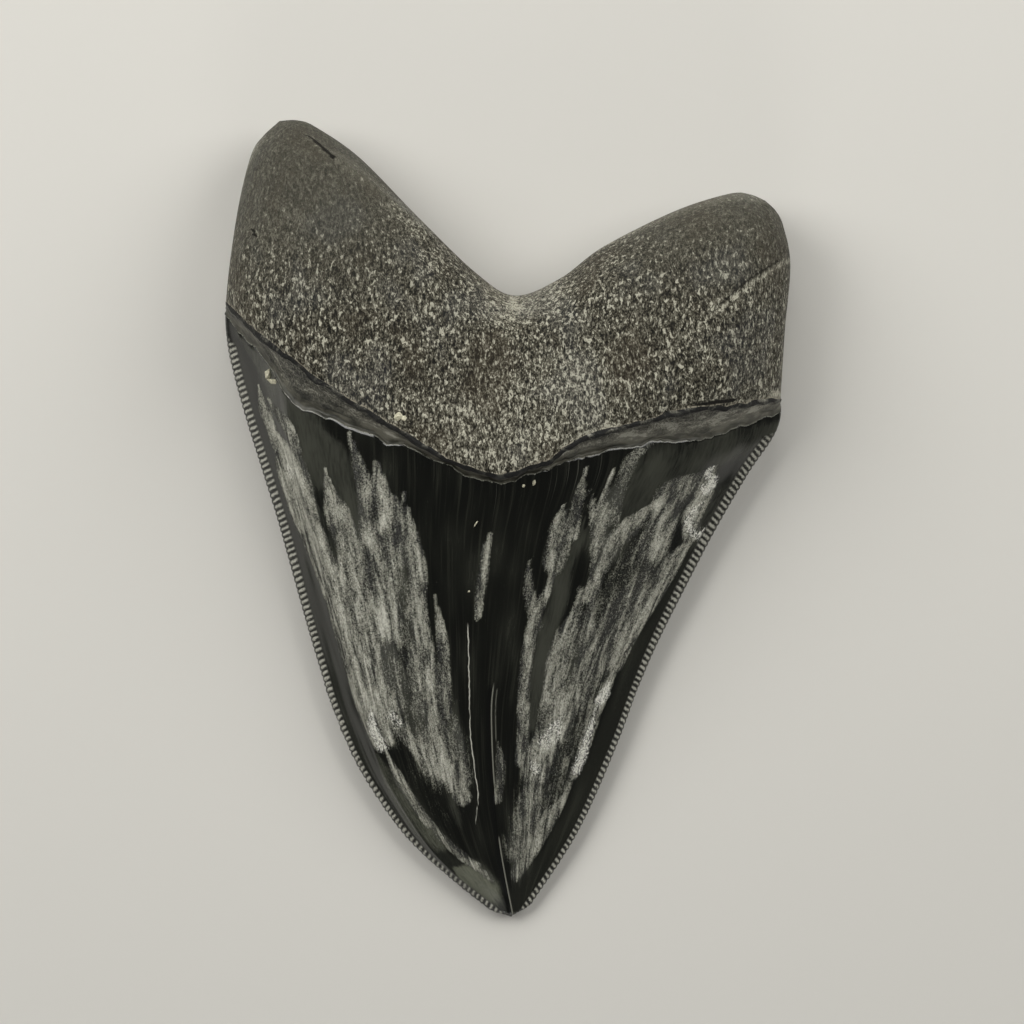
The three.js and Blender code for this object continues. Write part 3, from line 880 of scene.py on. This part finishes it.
def toned(tree, finish, tone, steps):
    """Lays colours and roughnesses over a finish, each where the tone has passed its limits."""
    return layered(tree, finish, [
        (share_between(tree, tone, low, high), colour, roughness) for low, high, colour, roughness in steps])


def layered(tree, finish, layers):
    """Covers a finish, a pair of colour and roughness, with others, each where its share is 1."""
    colour, roughness = finish
    for share, new_colour, new_roughness in layers:
        colour = add_node(
            tree, "ShaderNodeMix", {0: share, 6: colour, 7: linear(new_colour)}, data_type="RGBA").outputs[2]
        roughness = add_node(tree, "ShaderNodeMix", {0: share, 2: roughness, 3: new_roughness}).outputs[0]
    return colour, roughness


def make_surface(tree, finish, height, depth_mm, **settings):
    """Ends a material: its finish on a shader, with fine bumps as deep as depth_mm, and its settings."""
    bumps = add_node(tree, "ShaderNodeBump", {"Height": height, "Distance": depth_mm * MM, "Strength": 1.0})
    finish_material(tree, add_node(tree, "ShaderNodeBsdfPrincipled", {
        "Base Color": finish[0], "Roughness": finish[1], "Normal": bumps.outputs["Normal"], **settings}))


print("helpers ready")

# %% [markdown]
# ## The root: mineralised dentine
#
# The root was spongy dentine and is now stone. It is matt, brown-grey, and covered in short pale
# fibres and dark pores, about a third of a millimetre wide and a millimetre long. They are strongest
# low down in the middle, where the root is worn open, and calm down over the smoother, greyer lobes.
# So one tone, mixed from four noises, runs from pore to fibre, and the lobes take only part of it.

# %% Make the root's finish
root_stone, tree = new_material("mineralised_dentine")
FIBRE_MM = (0.42, 1.05, 0.42)
DUST_MM = (0.20, 0.40, 0.20)
CHIP_MM = (0.62, 1.10, 0.62)
PATCH_MM = (9.0, 13.0, 9.0)
LOBE_GREY_SHARE = 0.35
TINT_SHARE = 0.14  # of faint bluish and brownish patches
DRY_STONE_GLOSS = 0.25  # half the usual, because pores swallow most of the reflection
fibres = fibrous(tree, FIBRE_MM, along="solid", detail=2.0, curl=0.6)
dust = fibrous(tree, DUST_MM, along="solid", detail=1.0, curl=0.4, seed=31.0)
patches = fibrous(tree, PATCH_MM, along="solid", detail=2.0, seed=7.0)
chips = fibrous(tree, CHIP_MM, along="solid", detail=1.0, curl=0.3, seed=53.0)
grain_noise = blended(tree, 0.0, (fibres, 2.8), (dust, 2.4))
strength = share_between(tree, stored(tree, "lobe"), 2.0, -0.4)  # 0.4 on the lobes, 0.9 elsewhere
tone = added(tree, blended(tree, 0.02, (patches, 0.3)), grain_noise, strength)
tone = added(tree, tone, share_between(tree, chips, 0.58, 0.68), where_all(tree, strength, 0.8))
tone = added(tree, tone, share_between(tree, chips, 0.42, 0.30), where_all(tree, strength, -0.5))
# Pale mineral marks, and painted highlights along the rims of the lobes and the foot.
tone = added(tree, tone, stored(tree, "stain_and_highlight"), 0.8)
finish = toned(tree, (linear("#100f0a"), 0.70), tone, [
    (-0.60, -0.30, "#27251b", 0.66), (-0.30, -0.02, "#474338", 0.62),
    (-0.02, 0.28, "#6e6b5e", 0.56), (0.34, 0.85, "#c2bfae", 0.50)])
# Painted highlight: a pale line along the root's raised foot, frayed by the grain.
rim = added(tree, measured(tree, "below_foot", -1.1, -0.1), grain_noise, 0.6)
finish = layered(tree, finish, [
    (where_all(tree, share_between(tree, patches, 0.52, 0.66), TINT_SHARE), "#565a60", 0.55),
    (where_all(tree, share_between(tree, patches, 0.48, 0.34), TINT_SHARE), "#5e5240", 0.60),
    (where_all(tree, stored(tree, "lobe"), LOBE_GREY_SHARE), "#53534b", 0.55),
    (share_between(tree, rim, 0.7, 1.3), "#989282", 0.5),
    (measured(tree, "shade", 0.3, 0.8), "#15130e", 0.8)])
make_surface(tree, finish, grain_noise, 0.16, **{"Specular IOR Level": DRY_STONE_GLOSS})
print("the root's fibres are", FIBRE_MM[1], "mm long")

# %% [markdown]
# ## The bare band
#
# Between root and enamel the tooth is bare: dark, dry and torn into fine ridges that follow the
# chevron. Its ridges are geometry already, and the colour follows the relief with painted light and
# shade, pale on top and nearly black below. Right under the root's foot an open crack is painted
# near-black as its shadow, here and there.

# %% Make the band's finish
bare_band, tree = new_material("torn_bare_dentine")
ridges = fibrous(tree, (2.4, 0.50, 5.0), along="chevron", detail=4.0, curl=0.5)
grit = fibrous(tree, (0.32, 0.38, 0.32), along="solid", curl=0.6)
# Painted light and shade: the tone follows the relief, pale on the ridges and dark between them, with grit
# and pale marks on top.
tone = added(
    tree, blended(tree, measured(tree, "relief", -0.4, 0.4), (ridges, 1.2)),
    blended(tree, 0.0, (ridges, 0.8), (grit, 3.4)), measured(tree, "below_lip", -0.2, -3.6))
tone = added(tree, tone, stored(tree, "stain_and_highlight"), 0.7)
finish = toned(tree, (linear("#161611"), 0.60), tone, [
    (-0.10, 0.18, "#2e2e27", 0.55), (0.18, 0.48, "#47463d", 0.50),
    (0.50, 0.90, "#6a685d", 0.48), (0.95, 1.35, "#a3a195", 0.45)])
# Painted shadow: near-black in the crack right under the root's foot.
painted_crack_shadow = added(tree, measured(tree, "below_foot", 0.6, 0.2), blended(tree, 0.0, (ridges, 3.0)), 1.0)
finish = layered(tree, finish, [(share_between(tree, painted_crack_shadow, 0.6, 1.0), "#0a0a08", 0.8)])
make_surface(tree, finish, tone, 0.12)
print("the band has", len(tree.nodes), "nodes")

# %% [markdown]
# ## The crown: polished enamel
#
# Fossil enamel is glass-hard and black, so its base is almost black and very smooth. The silky flames
# are where it lost its polish: rougher and grey-olive, brushed along the fibres, their grey partly
# painted sheen. As on the root, one tone runs from black to pale: what was painted, plus scratches of
# four sizes where silk was painted.
# Enamel has a higher index of refraction than glass-like plastics, 1.62, so its highlights are a
# little stronger.

# %% Make the enamel's finish
enamel, tree = new_material("polished_fossil_enamel")
ENAMEL_IOR = 1.62
flames = fibrous(tree, (1.7, 6.5, 5.0), curl=0.6)
strands = fibrous(tree, (0.40, 2.4, 5.0), detail=2.0, curl=0.5, seed=3.0)
curls = fibrous(tree, (0.42, 0.56, 1.0), along="grain", detail=2.0, curl=2.0)
specks = fibrous(tree, (0.20, 0.26, 1.0), along="grain", detail=1.0, curl=1.5)
veils = fibrous(tree, (5.0, 14.0, 5.0), detail=1.0, seed=5.0)
streaks = fibrous(tree, (0.5, 16.0, 5.0), detail=2.0, seed=11.0)

# The silk's tone is partly painted sheen: pale where the strokes and scratches add up.
scratches = blended(tree, 0.0, (flames, 2.9), (strands, 0.9), (curls, 2.0), (specks, 2.1))
tone = added(tree, stored(tree, "silk_and_sheen"), scratches, measured(tree, "silk_and_sheen", 0.02, 0.45))
sparkle = blended(tree, stored(tree, "glint"), (strands, 1.2), (curls, 3.4), (specks, 2.0))
smoke_tone = blended(tree, stored(tree, "smoke"), (veils, 1.8), (strands, 1.0))
glaze_tone = added(
    tree, blended(tree, stored(tree, "glaze"), (veils, 0.8)),
    blended(tree, 0.0, (strands, 1.0), (curls, 1.2)), measured(tree, "glaze", 0.0, 0.4))
finish = layered(tree, (linear("#0f100d"), 0.13), [
    (share_between(tree, streaks, 0.48, 0.80), "#272822", 0.18),
    (share_between(tree, smoke_tone, 0.2, 1.3), "#40413a", 0.22),
    (stored(tree, "margin"), "#20211c", 0.20),
    (share_between(tree, glaze_tone, -0.1, 1.6), "#76786a", 0.25)])
finish = toned(tree, finish, tone, [
    (0.24, 0.44, "#2c2d27", 0.24), (0.42, 0.60, "#4d4e45", 0.30), (0.58, 0.84, "#76766a", 0.36),
    (0.84, 1.14, "#a6a598", 0.38), (1.25, 1.65, "#d8d7cc", 0.36)])
# Painted glints: near-white highlights laid over the brightest strokes, frayed by noise.
glints = where_all(tree, measured(tree, "glint", 0.05, 0.3), share_between(tree, sparkle, 0.70, 0.98))
finish = layered(tree, finish, [(glints, "#f0efe6", 0.34)])
print("the enamel has", len(tree.nodes), "nodes so far")

# %% [markdown]
# The small things come last: hairlines below the lip, the crack, the crease with painted shade in its
# groove and a painted highlight beside it, the denticles, grey between dark nicks with a painted
# highlight on each, and the thin, ragged line where the enamel starts.

# %% Add cracks, denticles and the enamel's lip
hairline = where_all(
    tree, share_between(tree, fibrous(tree, (0.3, 30.0, 5.0), seed=23.0), 0.60, 0.72),
    measured(tree, "below_lip", 9.0, 1.0), stored(tree, "scratchable"))
wiggly = blended(tree, stored(tree, "beside_crack"), (fibrous(tree, (1.2, 1.6, 1.0), along="grain"), 0.5))
crack = where_all(
    tree, measured(tree, "crack_here", 0.2, 0.8), share_between(tree, flames, 0.30, 0.50),
    share_between(tree, wiggly, -0.13, -0.03), share_between(tree, wiggly, 0.13, 0.03))
# Painted shade in the crease's groove, and a painted highlight along its right side.
painted_crease_shade = where_all(
    tree, measured(tree, "crease_here", 0.3, 0.8),
    measured(tree, "beside_crease", -1.1, -0.4), measured(tree, "beside_crease", 0.15, 0.0))
painted_crease_highlight = where_all(
    tree, measured(tree, "shine_here", 0.3, 0.8),
    measured(tree, "beside_crease", 0.0, 0.12), measured(tree, "beside_crease", 0.34, 0.2))
lens = where_all(
    tree, measured(tree, "lens_here", 0.2, 0.8), share_between(tree, strands, 0.30, 0.48),
    measured(tree, "beside_crease", 0.72, 0.84), measured(tree, "beside_crease", 1.06, 0.92))
on_saw = measured(tree, "serrated", 0.3, 0.7)
saw = where_all(tree, on_saw, measured(tree, "into_saw", 1.15, 0.95))
slanted = added(tree, stored(tree, "denticle_count"), stored(tree, "into_saw"), 0.30)
slanted = blended(tree, slanted, (curls, 0.7), (specks, 0.5))
to_nick = add_node(  # 0 in a nick and 0.5 in the middle of a denticle
    tree, "ShaderNodeMath", {0: slanted, 1: 0.5}, operation="PINGPONG").outputs[0]
denticles = where_all(tree, saw, share_between(tree, to_nick, 0.10, 0.22))
# Painted highlight: a pale bead on one flank of each denticle.
denticle_highlight = where_all(
    tree, saw, share_between(tree, to_nick, 0.22, 0.40),
    measured(tree, "into_saw", 0.02, 0.30), measured(tree, "into_saw", 1.05, 0.80))
lip_line = share_between(
    tree, blended(tree, measured(tree, "below_lip", 0.35, 0.05), (curls, 2.4)), 0.60, 0.95)
finish = layered(tree, finish, [
    (hairline, "#4c4c45", 0.3), (painted_crease_shade, "#090a08", 0.2), (painted_crease_highlight, "#85857b", 0.3),
    (lens, "#5c5c54", 0.3), (crack, "#c4c3b8", 0.35), (saw, "#0e0e0b", 0.4),
    (denticles, "#3c3c36", 0.35), (denticle_highlight, "#b3b2a7", 0.3), (lip_line, "#85857a", 0.4)])
silk_bumps = where_all(tree, scratches, measured(tree, "silk_and_sheen", 0.1, 0.6))
make_surface(tree, finish, silk_bumps, 0.05, IOR=ENAMEL_IOR)
print("the enamel has", len(tree.nodes), "nodes")

# %% Put the tooth together
tooth_mesh = bpy.data.meshes.new("megalodon_tooth")
sleeve.to_mesh(tooth_mesh)
tooth_mesh.shade_smooth()
for material in (root_stone, bare_band, enamel):
    tooth_mesh.materials.append(material)
tooth = new_object("megalodon_tooth", tooth_mesh)
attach(tooth, "root")
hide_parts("tooth")
print("the tooth has", len(tooth_mesh.vertices), "vertices")

# %% [markdown]
# ## Crumbs of the rock it lay in
#
# A few pale grains of the sea floor still stick to the tooth: two cream shards in the corner of the
# enamel, a round nodule on the root's foot and specks below the tip of the chevron. Each is a ball
# of few flat faces whose vertices are pushed about by noise, sunk halfway into the surface.

# %% Set the crumbs on the tooth
CRUMBS = [  # x, y, radius, length across and down as shares of the radius, and turn in degrees
    (-39.9, 24.3, 0.85, 0.9, 1.1, 10),
    (-38.9, 23.1, 0.70, 2.0, 0.7, -14),
    (-17.9, 16.9, 0.85, 1.0, 0.9, 0),
    (-16.9, 16.6, 0.45, 1.0, 1.0, 0),
    (4.3, 6.1, 0.42, 0.8, 1.3, -10),
    (2.6, 5.6, 0.28, 1.0, 1.0, 0),
    (-6.4, -11.8, 0.22, 1.3, 0.8, 30),
    (-5.2, -0.6, 0.40, 0.35, 1.4, -35),
]
CRUMB_HEIGHT = 0.7  # as a share of the radius
surface = BVHTree.FromBMesh(sleeve)
crumbs_bm = bmesh.new()
for number, (x, y, radius, wide, tall, turn) in enumerate(CRUMBS):
    crumb = bmesh.ops.create_icosphere(crumbs_bm, subdivisions=1, radius=radius * MM)["verts"]
    for vertex in crumb:
        lump = noise.noise(vertex.co * (1.1 / (radius * MM)) + Vector((9.0 * number, 0, 0)))
        vertex.co *= 1 + 0.6 * lump
    ground = surface.ray_cast(Vector((x * MM, y * MM, 1)), Vector((0, 0, -1)))[0]
    shape = Matrix.Rotation(math.radians(turn), 4, "Z") @ Matrix.Diagonal((wide, tall, CRUMB_HEIGHT, 1))
    bmesh.ops.transform(crumbs_bm, matrix=Matrix.Translation(ground) @ shape, verts=crumb)

rock, tree = new_material("pale_sea_floor_rock")
rock_noise = fibrous(tree, (0.35, 0.35, 0.35), along="solid", detail=4.0)
finish = layered(
    tree, (linear("#b9b49c"), 0.75), [(share_between(tree, rock_noise, 0.42, 0.60), "#e0dcc4", 0.7)])
make_surface(tree, finish, rock_noise, 0.1)

crumbs_mesh = bpy.data.meshes.new("matrix_crumbs")
crumbs_bm.to_mesh(crumbs_mesh)
crumbs_bm.free()
crumbs_mesh.materials.append(rock)
crumbs = new_object("matrix_crumbs", crumbs_mesh)
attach(crumbs, "root")
print(len(CRUMBS), "crumbs of", len(crumbs_mesh.polygons), "faces in all")

# %% Free the working mesh
sleeve.free()
